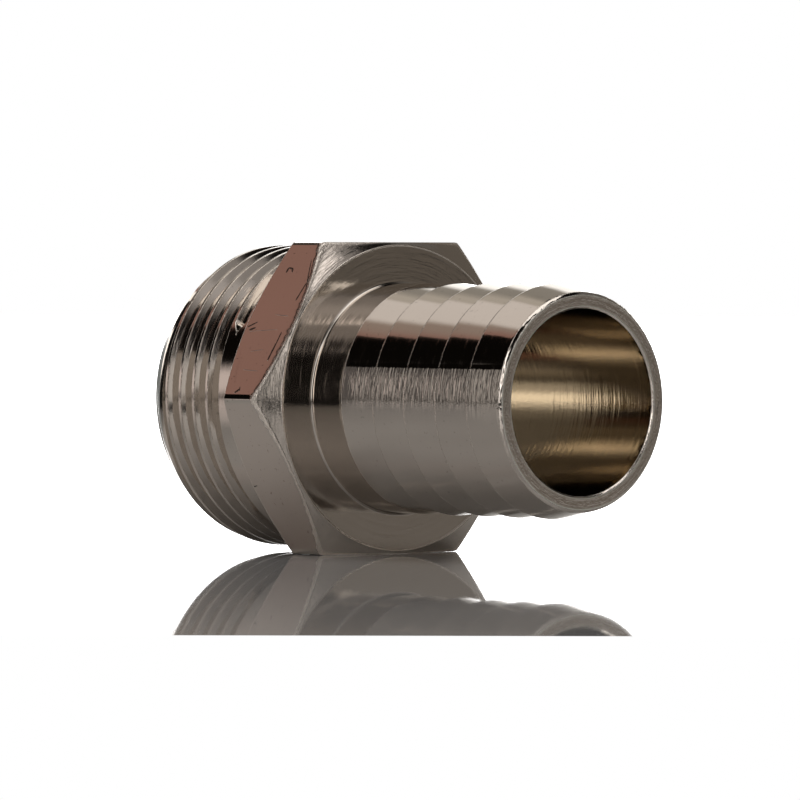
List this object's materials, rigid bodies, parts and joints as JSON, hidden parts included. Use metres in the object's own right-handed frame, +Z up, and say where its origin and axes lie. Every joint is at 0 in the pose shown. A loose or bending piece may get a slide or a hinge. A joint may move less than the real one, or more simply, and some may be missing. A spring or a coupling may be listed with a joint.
{
  "type": "hose tail adaptor",
  "caption": "One-piece turned hose tail adaptor: a male parallel pipe thread, a spanner hexagon and a barbed tail for a hose, with a straight bore through all of it.",
  "frame": {"origin": "on the plane of the hexagon flat that the adaptor lies on, under the middle of its length and of its width", "axes": "+X along the bore axis towards the hose tail's tip, +Z up, square to the flat it lies on"},
  "size_m": [0.0542, 0.0392, 0.034],
  "materials": {
    "plated_brass": "nickel plating over turned and milled brass, bright and fairly smooth, with fine tool marks"
  },
  "bodies": {
    "root": {"hose_barb_tail": "plated_brass"}
  },
  "joints": []
}
